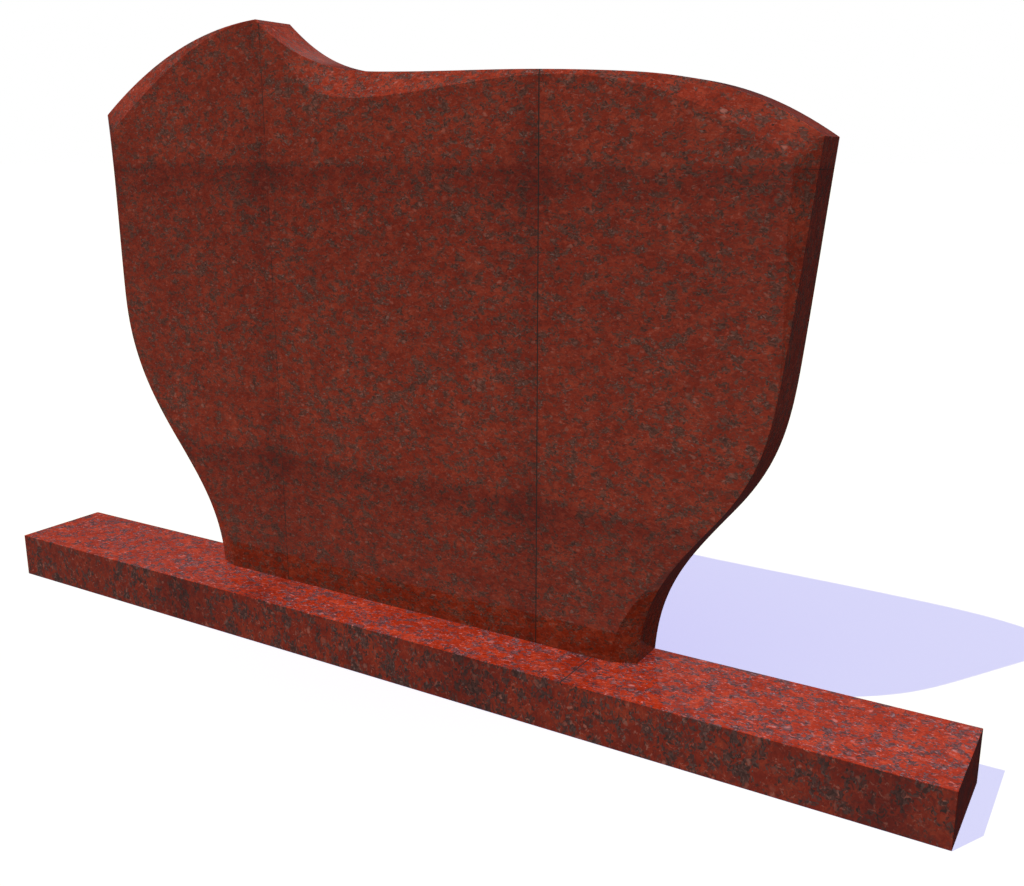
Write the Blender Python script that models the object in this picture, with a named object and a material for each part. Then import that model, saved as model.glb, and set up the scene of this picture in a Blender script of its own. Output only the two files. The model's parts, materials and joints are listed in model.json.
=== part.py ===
"""Double headstone: a shaped slab of polished stone standing on a long low plinth.

Metres, Z up. The origin is at the middle of the plinth's underside, X runs
along the plinth, and the face that is read looks along -Y.
"""

import math

import bmesh
import bpy


for old in list(bpy.data.objects):
    bpy.data.objects.remove(old, do_unlink=True)


# Plinth
plinth_length = 2.000
plinth_depth = 0.200
plinth_height = 0.092

# Slab: overall size, how far its middle is from the plinth's, and the bed it stands on.
# Its back is flush with the plinth's back.
slab_width = 1.469
slab_height = 1.067
slab_thickness = 0.091
slab_shift = -0.012
bed_gap = 0.0003

# Run-out chamfer round the front: widths are across the face, depths into the slab
foot_chamfer_width = 0.044
foot_chamfer_depth = 0.018
tip_side_chamfer_width = 0.031
left_brow_chamfer_width = 0.043
right_brow_chamfer_width = 0.048
tip_chamfer_depth = 0.016
dip_chamfer_width = 0.047
dip_chamfer_depth = 0.019
crown_chamfer_width = 0.0072
crown_chamfer_depth = 0.003
arris_width = 0.0008
arris_depth = 0.0004

# Where the chamfer runs out and where it is widest, as shares of the slab's height or width
foot_runout_height = 0.215
side_runout_height = 0.42
dip_chamfer_place = 0.405
crown_chamfer_place = 0.725

# Fineness of the curves
steps_per_stretch = 24


def knot(across, up, lean_in, lean_out=None):
    """A point of the slab's outline.

    across and up are shares of the slab's width and height. A lean is the
    outline's direction there in degrees above level, going clockwise round
    the slab from its left foot; a corner has one for each side.
    """
    place = ((across - 0.5) * slab_width, up * slab_height)
    return {"place": place, "in": lean_in, "out": lean_in if lean_out is None else lean_out}


# Clockwise from the left foot, seen from the front
left_foot = knot(0.169, 0.0, 92.5)
left_waist = knot(0.109, 0.2265, 128.5)
left_belly = knot(0.016, 0.523, 93.9)
left_tip = knot(0.0, 0.8545, 93.9, 34.7)
peak = knot(0.297, 1.0, 3.6, -41.8)
dip = knot(0.473, 0.9085, -2.6)
crown = knot(0.748, 0.896, -3.3)
right_tip = knot(1.0, 0.8015, -33.1, -95.9)
right_belly = knot(0.98, 0.5215, -95.9)
right_waist = knot(0.9155, 0.2585, -128.8)
right_foot = knot(0.825, 0.0, -93.5)


def heading(lean):
    angle = math.radians(lean)
    return math.cos(angle), math.sin(angle)


def stretch(start, end, reach):
    """One smooth run: a cubic that leaves and arrives along the leans.

    reach is the length of its handles as a share of its chord.
    """
    (x0, z0), (x3, z3) = start["place"], end["place"]
    handle = math.hypot(x3 - x0, z3 - z0) * reach
    ux, uz = heading(start["out"])
    vx, vz = heading(end["in"])
    x1, z1 = x0 + ux * handle, z0 + uz * handle
    x2, z2 = x3 - vx * handle, z3 - vz * handle
    points = []
    for step in range(steps_per_stretch + 1):
        t = step / steps_per_stretch
        a, b, c, d = (1 - t) ** 3, 3 * t * (1 - t) ** 2, 3 * t * t * (1 - t), t ** 3
        place = (a * x0 + b * x1 + c * x2 + d * x3, a * z0 + b * z1 + c * z2 + d * z3)
        e, f, g = (1 - t) ** 2, 2 * t * (1 - t), t * t
        along_x = e * (x1 - x0) + f * (x2 - x1) + g * (x3 - x2)
        along_z = e * (z1 - z0) + f * (z2 - z1) + g * (z3 - z2)
        size = math.hypot(along_x, along_z)
        points.append({"place": place, "along": (along_x / size, along_z / size)})
    return points


def edge(knots, reach):
    """All the points of an edge from corner to corner."""
    points = stretch(knots[0], knots[1], reach)
    for start, end in zip(knots[1:], knots[2:]):
        points += stretch(start, end, reach)[1:]
    return points


def ease(share):
    share = min(max(share, 0.0), 1.0)
    return share * share * (3.0 - 2.0 * share)


def blend(start, end, share):
    return start + (end - start) * share


def mitre_slips(corner, width_in, width_out):
    """How far the inner line stops short of a corner, before it and after it."""
    turn = math.radians(corner["in"] - corner["out"])
    before = (width_out - width_in * math.cos(turn)) / math.sin(turn)
    after = (width_in - width_out * math.cos(turn)) / math.sin(turn)
    return before, after


left_slips = mitre_slips(left_tip, tip_side_chamfer_width, left_brow_chamfer_width)
right_slips = mitre_slips(right_tip, right_brow_chamfer_width, tip_side_chamfer_width)
peak_slips = mitre_slips(peak, arris_width, arris_width)


# A chamfer rule gives its width, its depth and how far the inner point slips along the edge

def side_chamfer(point, tip, slip):
    """Wide at the foot, run out at the belly and wide again at the tip."""
    height = point["place"][1]
    low = foot_runout_height * slab_height
    high = side_runout_height * slab_height
    if height < low:
        share = ease((low - height) / low)
        width = blend(arris_width, foot_chamfer_width, share)
        depth = blend(arris_depth, foot_chamfer_depth, share)
        # The slip keeps the inner point level with the outer one on the bed
        return width, depth, share * width * point["along"][0] / point["along"][1]
    share = ease((height - high) / (tip["place"][1] - high))
    width = blend(arris_width, tip_side_chamfer_width, share)
    return width, blend(arris_depth, tip_chamfer_depth, share), share * slip


def left_side_chamfer(point):
    return side_chamfer(point, left_tip, -left_slips[0])


def right_side_chamfer(point):
    return side_chamfer(point, right_tip, right_slips[1])


def left_brow_chamfer(point):
    """Wide at the tip, run out at the peak."""
    x = point["place"][0]
    share = ease((peak["place"][0] - x) / (peak["place"][0] - left_tip["place"][0]))
    width = blend(arris_width, left_brow_chamfer_width, share)
    slip = blend(-peak_slips[0], left_slips[1], share)
    return width, blend(arris_depth, tip_chamfer_depth, share), slip


def right_brow_chamfer(point):
    """Run out at the peak, wide in the dip, narrow over the crown and wide at the tip."""
    x = point["place"][0]
    widest = (dip_chamfer_place - 0.5) * slab_width
    narrowest = (crown_chamfer_place - 0.5) * slab_width
    if x < widest:
        share = ease((x - peak["place"][0]) / (widest - peak["place"][0]))
        width = blend(arris_width, dip_chamfer_width, share)
        return width, blend(arris_depth, dip_chamfer_depth, share), (1 - share) * peak_slips[1]
    if x < narrowest:
        share = ease((x - widest) / (narrowest - widest))
        width = blend(dip_chamfer_width, crown_chamfer_width, share)
        return width, blend(dip_chamfer_depth, crown_chamfer_depth, share), 0.0
    share = ease((x - narrowest) / (right_tip["place"][0] - narrowest))
    width = blend(crown_chamfer_width, right_brow_chamfer_width, share)
    return width, blend(crown_chamfer_depth, tip_chamfer_depth, share), -share * right_slips[0]


def slab_lines():
    """The line where chamfer meets edge and the line where it meets the face.

    Each point is x, depth behind the face, z.
    """
    edges = (
        (edge((left_foot, left_waist, left_belly, left_tip), 0.40), left_side_chamfer),
        (edge((left_tip, peak), 0.34), left_brow_chamfer),
        (edge((peak, dip, crown, right_tip), 0.40), right_brow_chamfer),
        (edge((right_tip, right_belly, right_waist, right_foot), 0.40), right_side_chamfer),
    )
    outer, inner = [], []
    for points, rule in edges:
        # A corner belongs to the edge before it
        for point in points[1:] if outer else points:
            width, depth, slip = rule(point)
            (x, z), (ax, az) = point["place"], point["along"]
            outer.append((x, depth, z))
            # Inward is to the right of the way round
            inner.append((x + az * width + ax * slip, 0.0, z - ax * width + az * slip))
    return outer, inner


def stone(name, colour, roughness):
    material = bpy.data.materials.new(name)
    material.use_nodes = True
    shader = material.node_tree.nodes["Principled BSDF"]
    shader.inputs["Base Color"].default_value = colour + (1.0,)
    shader.inputs["Roughness"].default_value = roughness
    shader.inputs["Metallic"].default_value = 0.0
    return material


def add_object(name, source, material):
    bmesh.ops.recalc_face_normals(source, faces=source.faces[:])
    mesh = bpy.data.meshes.new(name)
    source.to_mesh(mesh)
    source.free()
    mesh.materials.append(material)
    piece = bpy.data.objects.new(name, mesh)
    bpy.context.scene.collection.objects.link(piece)
    return piece


def make_plinth(material):
    block = bmesh.new()
    bmesh.ops.create_cube(block, size=1.0)
    bmesh.ops.scale(block, vec=(plinth_length, plinth_depth, plinth_height), verts=block.verts[:])
    bmesh.ops.translate(block, vec=(0.0, 0.0, plinth_height / 2), verts=block.verts[:])
    return add_object("plinth", block, material)


def make_headstone(material):
    outer, inner = slab_lines()
    slab = bmesh.new()
    front = [slab.verts.new(place) for place in inner]
    shoulder = [slab.verts.new(place) for place in outer]
    back = [slab.verts.new((x, slab_thickness, z)) for x, depth, z in outer]
    # The chamfer from the face to the shoulder line, then the plain edge to the back
    for near, far in ((front, shoulder), (shoulder, back)):
        for i in range(len(near) - 1):
            slab.faces.new((near[i], near[i + 1], far[i + 1], far[i]))
    slab.faces.new(front)
    slab.faces.new(back[::-1])
    slab.faces.new((front[0], front[-1], shoulder[-1], back[-1], back[0], shoulder[0]))
    piece = add_object("headstone", slab, material)
    # Smooth along the curves, sharp at the chamfer and the corners
    piece.data.shade_smooth()
    piece.data.set_sharp_from_angle(angle=math.radians(12.0))
    piece.location = (slab_shift, plinth_depth / 2 - slab_thickness, plinth_height + bed_gap)
    return piece


plinth = make_plinth(stone("plinth_granite", (0.33, 0.035, 0.022), 0.16))
headstone = make_headstone(stone("headstone_granite", (0.20, 0.024, 0.016), 0.12))
bpy.context.view_layer.update()
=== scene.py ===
# A blank double headstone of polished red granite on a long low plinth
import json
from math import pi, radians

import bpy
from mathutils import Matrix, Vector

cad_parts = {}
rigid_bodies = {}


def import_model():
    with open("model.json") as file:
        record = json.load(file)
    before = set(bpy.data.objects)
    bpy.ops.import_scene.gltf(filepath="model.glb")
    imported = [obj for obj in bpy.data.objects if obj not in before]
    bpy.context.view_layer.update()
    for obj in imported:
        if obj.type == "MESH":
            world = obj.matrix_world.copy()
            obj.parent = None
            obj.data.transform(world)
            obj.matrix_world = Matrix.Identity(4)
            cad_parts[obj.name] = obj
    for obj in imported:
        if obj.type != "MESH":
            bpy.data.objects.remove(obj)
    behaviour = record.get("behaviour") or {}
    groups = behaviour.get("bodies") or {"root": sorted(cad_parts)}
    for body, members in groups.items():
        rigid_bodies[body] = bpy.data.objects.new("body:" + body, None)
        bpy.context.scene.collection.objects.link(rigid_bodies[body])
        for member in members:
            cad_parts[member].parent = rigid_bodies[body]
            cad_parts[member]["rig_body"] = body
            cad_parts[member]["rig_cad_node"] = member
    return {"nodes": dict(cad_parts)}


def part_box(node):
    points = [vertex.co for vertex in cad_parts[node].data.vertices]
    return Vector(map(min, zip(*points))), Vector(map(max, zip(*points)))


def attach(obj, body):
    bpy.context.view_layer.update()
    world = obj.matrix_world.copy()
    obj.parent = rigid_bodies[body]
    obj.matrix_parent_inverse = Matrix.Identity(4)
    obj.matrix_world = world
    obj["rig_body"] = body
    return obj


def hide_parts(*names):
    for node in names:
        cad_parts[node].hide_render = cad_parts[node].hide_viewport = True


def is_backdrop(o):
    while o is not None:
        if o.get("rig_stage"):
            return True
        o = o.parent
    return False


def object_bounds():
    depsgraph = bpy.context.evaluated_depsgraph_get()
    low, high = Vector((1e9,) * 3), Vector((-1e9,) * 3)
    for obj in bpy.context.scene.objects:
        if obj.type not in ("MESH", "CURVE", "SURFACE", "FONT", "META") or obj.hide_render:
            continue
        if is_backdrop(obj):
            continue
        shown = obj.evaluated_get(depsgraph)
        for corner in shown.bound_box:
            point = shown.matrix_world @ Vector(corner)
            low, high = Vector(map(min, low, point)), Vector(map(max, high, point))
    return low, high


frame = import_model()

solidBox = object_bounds()
print("frame loaded:", ", ".join(sorted(frame["nodes"])))


# Shader sums

class Wire:  # a socket that can stand in a sum with numbers and other sockets
    def __init__(self, graph, socket):
        self.graph = graph
        self.socket = socket

    def __add__(self, other):
        return self.graph.maths("ADD", self, other)

    def __sub__(self, other):
        return self.graph.maths("SUBTRACT", self, other)

    def __rsub__(self, other):
        return self.graph.maths("SUBTRACT", other, self)

    def __mul__(self, other):
        return self.graph.maths("MULTIPLY", self, other)

    def __gt__(self, other):
        return self.graph.maths("GREATER_THAN", self, other)

    __radd__ = __add__


class Graph:  # the nodes of one material or of the world
    def __init__(self, owner):
        owner.use_nodes = True
        self.nodes = owner.node_tree.nodes
        self.links = owner.node_tree.links

    def node(self, kind, settings, sockets, output=0):
        made = self.nodes.new(kind)
        for setting, value in settings.items():
            setattr(made, setting, value)
        for socket, value in sockets.items():
            self.feed(made.inputs[socket], value)
        return Wire(self, made.outputs[output])

    def feed(self, socket, value):
        if isinstance(value, Wire):
            self.links.new(value.socket, socket)
        else:
            socket.default_value = value

    def maths(self, operation, first, second):
        return self.node("ShaderNodeMath", {"operation": operation}, {0: first, 1: second})

    def distance(self, value, place):
        return self.node("ShaderNodeMath", {"operation": "ABSOLUTE"}, {0: value - place})

    def vector(self, operation, first, second):
        return self.node("ShaderNodeVectorMath", {"operation": operation}, {0: first, 1: second})

    def opaque(self, colour):
        return colour if isinstance(colour, Wire) else (*colour, 1.0)

    def mix(self, first, second, share, way="MIX"):
        settings = {"data_type": "RGBA", "blend_type": way}
        sockets = {0: share, 6: self.opaque(first), 7: self.opaque(second)}
        return self.node("ShaderNodeMix", settings, sockets, 2)

    def evenColour(self, value):
        return self.node("ShaderNodeCombineColor", {}, {0: value, 1: value, 2: value})

    def ease(self, value, start, end):
        settings = {"interpolation_type": "SMOOTHSTEP"}
        return self.node("ShaderNodeMapRange", settings, {0: value, 1: start, 2: end})

    def noise(self, place, size, detail, roughness=0.5, output="Fac"):
        sockets = {"Vector": place, "Scale": 1.0 / size, "Detail": detail, "Roughness": roughness}
        return self.node("ShaderNodeTexNoise", {}, sockets, output)

    def split(self, vector):
        return [self.node("ShaderNodeSeparateXYZ", {}, {0: vector}, axis) for axis in range(3)]

    def cells(self, place, size):
        # The crystal that a point is in: three random numbers, its middle, and how far that is
        sockets = {"Vector": place, "Scale": 1.0 / size}
        colour = self.node("ShaderNodeTexVoronoi", {}, sockets, "Color")
        outputs = colour.socket.node.outputs
        return {
            "random": [
                self.node("ShaderNodeSeparateColor", {}, {0: colour}, channel)
                for channel in range(3)
            ],
            "middle": Wire(self, outputs["Position"]),
            "away": Wire(self, outputs["Distance"]),
        }

    def ramp(self, value, places, colours):
        made = self.node("ShaderNodeValToRGB", {}, {0: value})
        elements = made.socket.node.color_ramp.elements
        while len(elements) < len(places):
            elements.new(0.5)
        for element, place, colour in zip(elements, places, colours):
            element.position = place
            element.color = (*colour, 1.0)
        return made


# Stone. Sizes are in metres and colours are linear. Edges are the values between which a
# pattern eases in, and a depth or share is how much of it shows.

headstoneStone = {
    "stretch": (1.45, 0.55, 1.0),  # crystals are long across the face and thin through the slab
    "seed": (3.1, 0.7, 5.3),
    "deepRed": (0.205, 0.0147, 0.0016),
    "red": (0.302, 0.0268, 0.0060),
    "orangeRed": (0.405, 0.054, 0.0175),
    "salmon": (0.520, 0.185, 0.110),
    "black": (0.030, 0.020, 0.013),
    "darkGrey": (0.080, 0.038, 0.021),
    "grey": (0.150, 0.080, 0.050),
    "paleGrey": (0.240, 0.150, 0.108),
    "wanderSize": 0.008,  # how ragged the crystals' edges are
    "wanderReach": 0.011,
    "patchSize": 0.034,
    "crystalSize": 0.0080,
    "grainSize": 0.0022,
    "mottleSize": 0.0060,
    "tones": {"patch": 1.3, "crystal": 0.40, "grain": 0.40, "mottle": 0.8},
    "redPlaces": (0.05, 0.50, 0.98),
    "broadSize": 0.070,  # slow changes over the whole stone
    "clusterSize": 0.0140,
    "clusterEdges": (0.505, 0.590),
    "clusterTones": {"broad": 0.22, "grain": 0.15},
    "darkPlaces": (0.0, 0.34, 0.95, 1.0),
    "darkDepth": 0.80,
    "streakShrink": (0.5, 1.0, 1.0),  # makes streaks longer across
    "paleStreakShift": (0.7, 0.2, 0.4),  # so that pale streaks don't follow the dark ones
    "greyStreaks": {"size": 0.0044, "ragged": 0.62, "edges": (0.52, 0.68), "depth": 0.46},
    "blackStreaks": {"size": 0.0034, "ragged": 0.70, "edges": (0.61, 0.68), "depth": 0.62},
    "paleStreaks": {"size": 0.0036, "ragged": 0.66, "edges": (0.57, 0.72), "depth": 0.42},
    "fleckSize": 0.0090,
    "fleckEdges": (0.46, 0.16),
    "fleckShare": 0.10,
    "fleckLeast": 0.08,
    "fleckRise": 0.55,
    "speckSize": 0.0022,
    "blackSpecks": {"from": 0.965, "depth": 0.38},
    "paleSpecks": {"from": 0.993, "depth": 0.45},
    "fineSize": 0.0027,
    "gain": 1.155,
    "broadShade": 0.30,
    "fineShade": 0.55,
    "ior": 1.4,
    "roughness": 0.05,
    "darkRoughness": 0.10,
    "reliefSize": 0.0060,
    "reliefDepth": 0.00010,
    "reliefStrength": 0.15,
    "bandShade": (0.60, 0.47, 0.43),  # what a soft dark band does to the colour at its deepest
    # Bands that start at a place and fade away below it or to its left: each place's depth,
    # and the widths of the deep core and of the faint foot
    "uprightBands": {"places": {0.276: 0.36, -0.304: 0.32}, "widths": (0.050, 0.110)},
    "levelBands": {"places": {0.352: 0.62, 0.908: 0.62}, "widths": (0.075, 0.500)},
    # Bands with a place as their middle. A round spot shows where the first two cross.
    "spotsAcross": {"places": {0.262: 1.0, -0.312: 1.0}, "widths": (0.070, 0.150)},
    "spotsUp": {"places": {0.345: 0.60, 0.895: 0.60}, "widths": (0.060, 0.150)},
    # Painted shade: a soft darker band along the slab's foot, just above the plinth
    "footBand": {"places": {0.100: 0.30}, "widths": (0.050, 0.170)},
    # Thin dark lines: each place's width and depth
    "veins": {0.2775: (0.0022, 0.95)},
    "brokenVeins": {-0.302: (0.0017, 0.80)},
    "breakSize": 0.030,
    "breakEdges": (0.42, 0.58),
    "breakLeast": 0.45,
    "sideVeins": {0.903: (0.0014, 0.60)},
    "sideFrom": {"across": 0.30, "through": 0.014},  # the right side, behind its chamfer
}

plinthStone = {
    **headstoneStone,
    "stretch": (1.5, 1.3, 2.0),  # coarser than the slab's
    "seed": (7.7, 2.9, 1.1),
    "gain": 1.05,
    "deepRed": (0.205, 0.0120, 0.0010),
    "red": (0.302, 0.0220, 0.0036),
    "orangeRed": (0.405, 0.047, 0.0120),
    "darkGrey": (0.066, 0.028, 0.020),
    "grey": (0.125, 0.064, 0.045),
    "paleGrey": (0.205, 0.125, 0.092),
    "clusterEdges": (0.500, 0.575),
    "darkDepth": 0.90,
    "paleStreaks": {**headstoneStone["paleStreaks"], "depth": 0.75},
    "topFrom": 0.0912,  # the height that parts the top's bands and veins from the front's bands
    "topBands": {"places": {-0.306: 0.50, 0.386: 0.50}, "widths": (0.065, 0.150)},
    "frontBands": {
        "places": {-0.500: 0.75, 0.205: 0.75, 0.898: 0.75},
        "widths": (0.085, 0.160),
    },
    "topVeins": {0.387: (0.0026, 0.92), -0.305: (0.0016, 0.50)},
}


def softBands(graph, along, look):
    core = 0.65  # the deep core's share of a band, of which the faint foot has the rest
    narrow, wide = look["widths"]
    total = 0.0
    for place, depth in look["places"].items():
        away = graph.distance(along, place)
        shape = graph.ease(away, narrow, 0.0) * core + graph.ease(away, wide, 0.0) * (1.0 - core)
        total = total + shape * depth
    return total


def fadingBands(graph, along, look):
    core = 0.53
    start = 0.010  # metres over which a band sets in
    narrow, wide = look["widths"]
    total = 0.0
    for place, depth in look["places"].items():
        away = place - along
        shape = graph.ease(away, narrow, 0.0) * core + graph.ease(away, wide, 0.0) * (1.0 - core)
        total = total + shape * graph.ease(away, -start, start) * depth
    return total


def veins(graph, along, places):
    total = 0.0
    for place, (width, depth) in places.items():
        away = graph.distance(along, place)
        total = total + graph.ease(away, width * 0.7, width * 0.3) * depth
    return total


def headstoneBands(graph, here, look):
    across, through, up = graph.split(here)
    spots = softBands(graph, across, look["spotsAcross"]) * softBands(graph, up, look["spotsUp"])
    bands = fadingBands(graph, across, look["uprightBands"])
    bands = bands + fadingBands(graph, up, look["levelBands"]) + spots
    # Painted shade along the slab's foot
    bands = bands + softBands(graph, up, look["footBand"])
    whole = graph.ease(graph.noise(here, look["breakSize"], 2.0), *look["breakEdges"])
    whole = whole * (1.0 - look["breakLeast"]) + look["breakLeast"]
    lines = veins(graph, across, look["veins"]) + veins(graph, across, look["brokenVeins"]) * whole
    side = (through > look["sideFrom"]["through"]) * (across > look["sideFrom"]["across"])
    return bands, lines + veins(graph, up, look["sideVeins"]) * side


def plinthBands(graph, here, look):
    along, through, up = graph.split(here)
    top = up > look["topFrom"]
    bands = softBands(graph, along, look["topBands"]) * top
    bands = bands + softBands(graph, along, look["frontBands"]) * (1.0 - top)
    return bands, veins(graph, along, look["topVeins"]) * top


def streaks(graph, colour, place, streakColour, look):
    run = graph.noise(place, look["size"], 3.0, look["ragged"])
    return graph.mix(colour, streakColour, graph.ease(run, *look["edges"]) * look["depth"])


def granite(name, look, bandsOf):
    material = bpy.data.materials.new(name)
    graph = Graph(material)
    here = graph.node("ShaderNodeTexCoord", {}, {}, "Object")
    shrink = tuple(1.0 / share for share in look["stretch"])
    even = graph.vector("ADD", graph.vector("MULTIPLY", here, shrink), look["seed"])
    # Crystals have ragged edges, so the pattern's own place wanders a little
    wander = graph.noise(even, look["wanderSize"], 2.0, output="Color")
    wander = graph.vector("SUBTRACT", wander, (0.5, 0.5, 0.5))
    wander = graph.vector("MULTIPLY", wander, (look["wanderReach"],) * 3)
    place = graph.vector("ADD", even, wander)

    # Feldspar: broad patches and small crystals of three reds
    crystal = graph.cells(place, look["crystalSize"])["random"]
    grain = graph.cells(place, look["grainSize"])
    patch = graph.noise(place, look["patchSize"], 3.0, 0.58)
    mottle = graph.noise(place, look["mottleSize"], 3.0, 0.65)
    tones = look["tones"]
    tone = (patch - 0.5) * tones["patch"] + (crystal[0] - 0.5) * tones["crystal"]
    tone = tone + (grain["random"][2] - 0.5) * tones["grain"]
    tone = tone + (mottle - 0.5) * tones["mottle"] + 0.5
    reds = (look["deepRed"], look["red"], look["orangeRed"])
    colour = graph.ramp(tone, look["redPlaces"], reds)

    # Dark mica and grey quartz: whole small grains, dark where a broader pattern is high at
    # their middle
    broad = graph.noise(even, look["broadSize"], 2.0)
    tones = look["clusterTones"]
    cluster = graph.noise(grain["middle"], look["clusterSize"], 3.5, 0.66)
    cluster = cluster + (broad - 0.5) * tones["broad"]
    cluster = cluster + (grain["random"][0] - 0.5) * tones["grain"]
    dark = graph.ease(cluster, *look["clusterEdges"])
    greys = (look["black"], look["darkGrey"], look["grey"], look["paleGrey"])
    darkColour = graph.ramp(grain["random"][1], look["darkPlaces"], greys)
    colour = graph.mix(colour, darkColour, dark * look["darkDepth"])

    # Thin level streaks, dark and pale
    longer = graph.vector("MULTIPLY", place, look["streakShrink"])
    colour = streaks(graph, colour, longer, look["darkGrey"], look["greyStreaks"])
    colour = streaks(graph, colour, longer, look["black"], look["blackStreaks"])
    longer = graph.vector("ADD", longer, look["paleStreakShift"])
    colour = streaks(graph, colour, longer, look["salmon"], look["paleStreaks"])

    # Salmon flecks with soft edges
    fleck = graph.cells(place, look["fleckSize"])
    chance, strength = fleck["random"][:2]
    shown = graph.ease(fleck["away"], *look["fleckEdges"]) * (chance > 1.0 - look["fleckShare"])
    shown = shown * (strength * strength * look["fleckRise"] + look["fleckLeast"])
    colour = graph.mix(colour, look["salmon"], shown)

    # Single specks of black mica and clear quartz
    speck = graph.cells(place, look["speckSize"])["random"]
    black, pale = look["blackSpecks"], look["paleSpecks"]
    colour = graph.mix(colour, look["black"], (speck[0] > black["from"]) * black["depth"])
    colour = graph.mix(colour, look["paleGrey"], (speck[1] > pale["from"]) * pale["depth"])

    # Slow and fine changes of brightness
    fine = graph.noise(longer, look["fineSize"], 2.0, 0.75)
    light = (broad - 0.5) * look["broadShade"] + (fine - 0.5) * look["fineShade"] + look["gain"]
    colour = graph.mix(colour, graph.evenColour(light), 1.0, "MULTIPLY")

    # Soft dark bands and thin dark veins; on the headstone the bands also hold a painted shade along
    # its foot
    bands, lines = bandsOf(graph, here, look)
    shade = graph.mix((1.0, 1.0, 1.0), look["bandShade"], bands)
    colour = graph.mix(colour, shade, 1.0, "MULTIPLY")
    colour = graph.mix(colour, look["black"], lines)

    shader = graph.nodes["Principled BSDF"]
    rough = look["roughness"]
    graph.feed(shader.inputs["Base Color"], colour)
    graph.feed(shader.inputs["Roughness"], dark * (look["darkRoughness"] - rough) + rough)
    graph.feed(shader.inputs["IOR"], look["ior"])
    # The polish rises and falls a very little
    relief = {
        "Height": graph.noise(even, look["reliefSize"], 2.0),
        "Distance": look["reliefDepth"],
        "Strength": look["reliefStrength"],
    }
    graph.feed(shader.inputs["Normal"], graph.node("ShaderNodeBump", {}, relief))
    return material


# Pieces

smoothWithin = radians(13.0)  # faces that meet at less than this are shaded as one


def pickOnly(piece):
    bpy.ops.object.select_all(action="DESELECT")
    piece.select_set(True)
    bpy.context.view_layer.objects.active = piece


def finish(piece, node, material):
    piece.data.materials.clear()
    piece.data.materials.append(material)
    pickOnly(piece)
    bpy.ops.object.shade_smooth_by_angle(angle=smoothWithin)
    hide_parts(node)
    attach(piece, "root")


plinthShape = {"arris": 0.0008, "arrisSteps": 2}


def makePlinth():
    low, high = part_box("plinth")
    bpy.ops.object.select_all(action="DESELECT")
    bpy.ops.mesh.primitive_cube_add(size=1.0, location=(low + high) / 2, scale=high - low)
    block = bpy.context.object
    block.name = "plinth_block"
    bpy.ops.object.transform_apply(location=True, rotation=True, scale=True)
    bpy.ops.object.mode_set(mode="EDIT")
    bpy.ops.mesh.select_all(action="SELECT")
    arris, steps = plinthShape["arris"], plinthShape["arrisSteps"]
    bpy.ops.mesh.bevel(offset=arris, segments=steps, affect="EDGES")
    bpy.ops.object.mode_set(mode="OBJECT")
    stone = granite("plinth_granite_polished", plinthStone, plinthBands)
    finish(block, "plinth", stone)
    return block


slabShape = {
    "arris": 0.0004,
    "arrisSteps": 2,
    "sharpFrom": radians(35.0),
    "weldWithin": 0.00002,
    "flatWithin": radians(0.05),
}


def makeHeadstone():
    pickOnly(frame["nodes"]["headstone"])
    bpy.ops.object.duplicate()
    slab = bpy.context.object
    slab.name = "headstone_slab"
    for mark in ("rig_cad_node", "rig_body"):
        del slab[mark]
    slab.parent = None
    # The copy is loose triangles: join them, and give back the flat faces
    bpy.ops.object.mode_set(mode="EDIT")
    bpy.ops.mesh.select_all(action="SELECT")
    bpy.ops.mesh.remove_doubles(threshold=slabShape["weldWithin"])
    bpy.ops.mesh.dissolve_limited(angle_limit=slabShape["flatWithin"])
    bpy.ops.object.mode_set(mode="OBJECT")
    # A worn arris on the sharp edges alone
    arris = slab.modifiers.new("arris", "BEVEL")
    arris.width = slabShape["arris"]
    arris.segments = slabShape["arrisSteps"]
    arris.limit_method = "ANGLE"
    arris.angle_limit = slabShape["sharpFrom"]
    arris.use_clamp_overlap = False
    bpy.ops.object.modifier_apply(modifier=arris.name)
    stone = granite("headstone_granite_polished", headstoneStone, headstoneBands)
    finish(slab, "headstone", stone)
    return slab


plinth = makePlinth()
headstone = makeHeadstone()
for piece in (plinth, headstone):
    print("piece made:", piece.name, len(piece.data.polygons))


# Studio. Softness is a lamp's angle in degrees.

studio = {
    "cameraPlace": (1.1736, -1.5363, 0.9160),
    "cameraForward": (-0.5052, 0.8261, -0.2496),
    "focalLength": 38.645,  # millimetres, like the width of the sensor
    "sensorWidth": 36.0,
    "lampDistance": 4.0,
    "sunFrom": (-0.272, -0.534, 0.800),
    "sunStrength": 0.50,
    "sunSoftness": 0.2,
    "topFrom": (-0.37, 0.11, 0.92),
    "topStrength": 0.79,
    "topSoftness": 12.0,
    "topColour": (1.0, 1.0, 1.95),
    "sideFrom": (1.0, 0.0, 0.0),
    "sideStrength": 0.045,  # lifts the right side
    "backFrom": (-0.25, 0.968, 0.0),
    "backStrength": 0.16,  # lifts the slab's back, and reaches nothing that the camera sees
    "fillSoftness": 1.0,
    "skyLight": (0.32, 0.32, 0.44),
    "groundLight": (0.061, 0.061, 0.078),
    "floorSize": 400.0,
    "floorHeight": -0.0005,
    "floorColour": (0.97, 0.97, 0.15),
    "floorGlow": (0.395, 0.395, 0.90),  # keeps the floor white and its shadow pale
}

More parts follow.
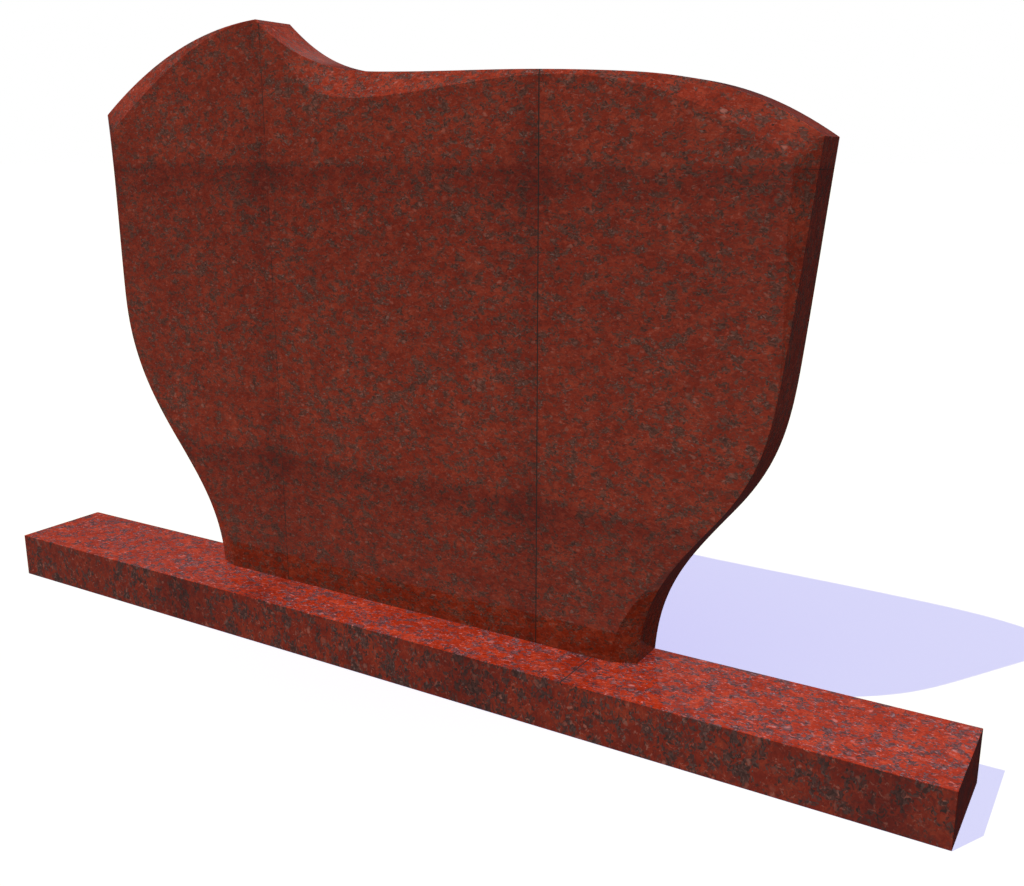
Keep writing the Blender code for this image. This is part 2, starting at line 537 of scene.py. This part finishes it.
# What the polish mirrors, by the direction of the mirrored ray. Edges are values of its
# sideways, forward or upward part.
mirrored = {
    "ground": (0.034, 0.012, 0.013),
    "horizon": (0.034, 0.026, 0.029),
    "horizonEdges": (-0.45, -0.25),
    "sky": (0.165, 0.165, 0.165),
    "skyEdges": (0.20, 0.46),
    "skyDim": 0.6,  # how far the sky dims again above its pale part
    "skyDimEdges": (0.50, 0.65),
    "wall": 0.42,
    "wallEdges": (0.30, -0.30),
    "wallSlope": 0.70,  # the wall pales from left to right
    "wallMiddle": 1.05,
    "wallRightDim": 0.65,
    "wallRightEdges": (0.0, 0.45),
    "wallTopDim": 0.15,
    "wallTopEdges": (0.25, 0.65),
}


def makeCamera():
    bpy.ops.object.camera_add(location=studio["cameraPlace"])
    camera = bpy.context.object
    camera.rotation_euler = Vector(studio["cameraForward"]).to_track_quat("-Z", "Y").to_euler()
    camera.data.sensor_width = studio["sensorWidth"]
    camera.data.lens = studio["focalLength"]
    bpy.context.scene.camera = camera


def makeSun(name, direction, strength, softness, colour=(1.0, 1.0, 1.0)):
    direction = Vector(direction)
    bpy.ops.object.light_add(type="SUN", location=direction * studio["lampDistance"])
    lamp = bpy.context.object
    lamp.name = name
    lamp.rotation_euler = direction.to_track_quat("Z", "Y").to_euler()
    lamp.data.energy = strength * pi
    lamp.data.angle = radians(softness)
    lamp.data.color = colour
    lamp.visible_glossy = False  # the polish mirrors the room and no lamps
    return lamp


def makeFloor():
    place = (0.0, 0.0, studio["floorHeight"])
    bpy.ops.mesh.primitive_plane_add(size=studio["floorSize"], location=place)
    floor = bpy.context.object
    floor.name = "floor"
    material = bpy.data.materials.new("floor_pale")
    shader = Graph(material).nodes["Principled BSDF"]
    shader.inputs["Base Color"].default_value = (*studio["floorColour"], 1.0)
    shader.inputs["Emission Color"].default_value = (*studio["floorGlow"], 1.0)
    shader.inputs["Emission Strength"].default_value = 1.0
    shader.inputs["Roughness"].default_value = 1.0
    shader.inputs["Specular IOR Level"].default_value = 0.0
    floor.data.materials.append(material)
    # The stone's ambient light and what its polish mirrors are the world's, not the floor's
    floor.visible_diffuse = False
    floor.visible_glossy = False
    floor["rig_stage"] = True


def makeWorld():
    world = bpy.data.worlds.new("studio")
    bpy.context.scene.world = world
    graph = Graph(world)
    direction = graph.node("ShaderNodeTexCoord", {}, {}, "Generated")
    across, away, up = graph.split(direction)
    # Behind the stone is a dim room with a paler part in its sky
    horizon = graph.ease(up, *mirrored["horizonEdges"])
    sky = graph.ease(up, *mirrored["skyEdges"])
    sky = sky - graph.ease(up, *mirrored["skyDimEdges"]) * mirrored["skyDim"]
    behind = graph.mix(mirrored["ground"], mirrored["horizon"], horizon)
    behind = graph.mix(behind, mirrored["sky"], sky)
    # In front is a pale wall that fades to the left, far to the right and upwards
    right = graph.ease(across, *mirrored["wallRightEdges"])
    top = graph.ease(up, *mirrored["wallTopEdges"])
    wall = across * mirrored["wallSlope"] + mirrored["wallMiddle"]
    wall = wall * (1.0 - right * mirrored["wallRightDim"]) * mirrored["wall"]
    wall = wall * (1.0 - top * mirrored["wallTopDim"])
    room = graph.mix(behind, graph.evenColour(wall), graph.ease(away, *mirrored["wallEdges"]))
    # The light on the stone, what it mirrors and the white background are each their own
    isGlossy = graph.node("ShaderNodeLightPath", {}, {}, "Is Glossy Ray")
    isCamera = graph.node("ShaderNodeLightPath", {}, {}, "Is Camera Ray")
    colour = graph.mix(studio["groundLight"], studio["skyLight"], up > 0.0)
    colour = graph.mix(colour, room, isGlossy)
    colour = graph.mix(colour, (1.0, 1.0, 1.0), isCamera)
    graph.feed(graph.nodes["Background"].inputs["Color"], colour)


makeCamera()
fill = studio["fillSoftness"]
makeSun("key_sun", studio["sunFrom"], studio["sunStrength"], studio["sunSoftness"])
topLight = makeSun(
    "top_light",
    studio["topFrom"],
    studio["topStrength"],
    studio["topSoftness"],
    studio["topColour"],
)
makeSun("side_light", studio["sideFrom"], studio["sideStrength"], fill)
makeSun("back_light", studio["backFrom"], studio["backStrength"], fill)
makeFloor()
makeWorld()

# The light from above falls on the stone and leaves the floor alone
stoneOnly = bpy.data.collections.new("stone_only")
for piece in (plinth, headstone):
    stoneOnly.objects.link(piece)
topLight.light_linking.receiver_collection = stoneOnly
topLight.data.use_shadow = False
plinth.visible_diffuse = False  # no red glow from the plinth on the slab's foot
bpy.context.scene.view_settings.view_transform = "Standard"
print("studio made")

sizes = {"solids": solidBox, "dressed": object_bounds()}
sizes = {name: [[float(value) for value in corner] for corner in box] for name, box in sizes.items()}
